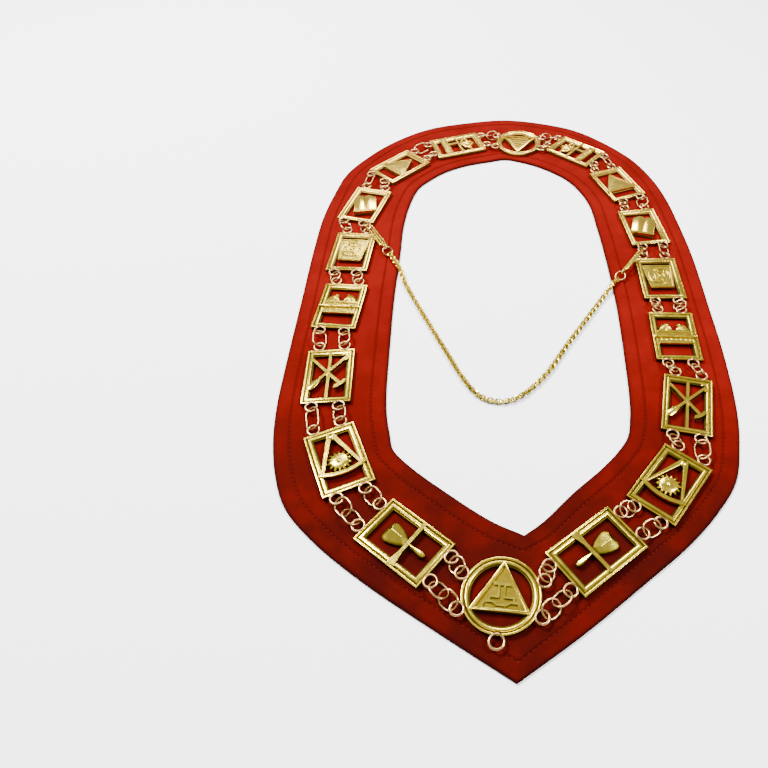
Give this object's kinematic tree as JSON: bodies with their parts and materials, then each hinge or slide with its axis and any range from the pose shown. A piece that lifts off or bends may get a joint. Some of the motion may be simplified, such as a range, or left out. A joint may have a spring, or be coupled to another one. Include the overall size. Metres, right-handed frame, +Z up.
{
  "type": "masonic officer collar",
  "caption": "Open ring of red velvet with gilt pierced plates joined by round links, two round medallions and a chest chain on two snap hooks.",
  "frame": {"origin": "middle of the collar's footprint on the surface it lies on", "axes": "+Y from the pointed front to the neck, +Z up out of the face with the plates"},
  "size_m": [0.3698, 0.654, 0.0109],
  "materials": {
    "velvet": "velvet",
    "gilt": "polished",
    "rose_gilt": "polished"
  },
  "bodies": {
    "root": {"velvet_band": "velvet", "trowel_plate_left": "gilt", "compass_plate_left": "gilt", "tools_plate_left": "gilt", "ark_plate_left": "gilt", "keystone_plate_left": "gilt", "book_plate_left": "gilt", "triangle_plate_left": "gilt", "sun_plate_left": "gilt", "sun_plate_right": "gilt", "triangle_plate_right": "gilt", "book_plate_right": "gilt", "keystone_plate_right": "gilt", "ark_plate_right": "gilt", "tools_plate_right": "gilt", "compass_plate_right": "gilt", "trowel_plate_right": "gilt", "front_medallion": "gilt", "top_medallion": "gilt", "link_01_inner": "rose_gilt", "link_01_outer": "rose_gilt", "link_02_inner": "rose_gilt", "link_02_outer": "rose_gilt", "link_03_inner": "rose_gilt", "link_03_outer": "rose_gilt", "link_04_inner": "rose_gilt", "link_04_outer": "rose_gilt", "link_05_inner": "rose_gilt", "link_05_outer": "rose_gilt", "link_06_inner": "rose_gilt", "link_06_outer": "rose_gilt", "link_07_inner": "rose_gilt", "link_07_outer": "rose_gilt", "link_08_inner": "rose_gilt", "link_08_outer": "rose_gilt", "link_09_inner": "rose_gilt", "link_09_outer": "rose_gilt", "link_10_inner": "rose_gilt", "link_10_outer": "rose_gilt", "link_11_inner": "rose_gilt", "link_11_outer": "rose_gilt", "link_12_inner": "rose_gilt", "link_12_outer": "rose_gilt", "link_13_inner": "rose_gilt", "link_13_outer": "rose_gilt", "link_14_inner": "rose_gilt", "link_14_outer": "rose_gilt", "link_15_inner": "rose_gilt", "link_15_outer": "rose_gilt", "link_16_inner": "rose_gilt", "link_16_outer": "rose_gilt", "link_17_inner": "rose_gilt", "link_17_outer": "rose_gilt", "link_18_inner": "rose_gilt", "link_18_outer": "rose_gilt", "snap_hook_left": "gilt", "end_ring_left": "rose_gilt", "snap_hook_right": "gilt", "end_ring_right": "rose_gilt", "chest_chain": "gilt"}
  },
  "joints": []
}
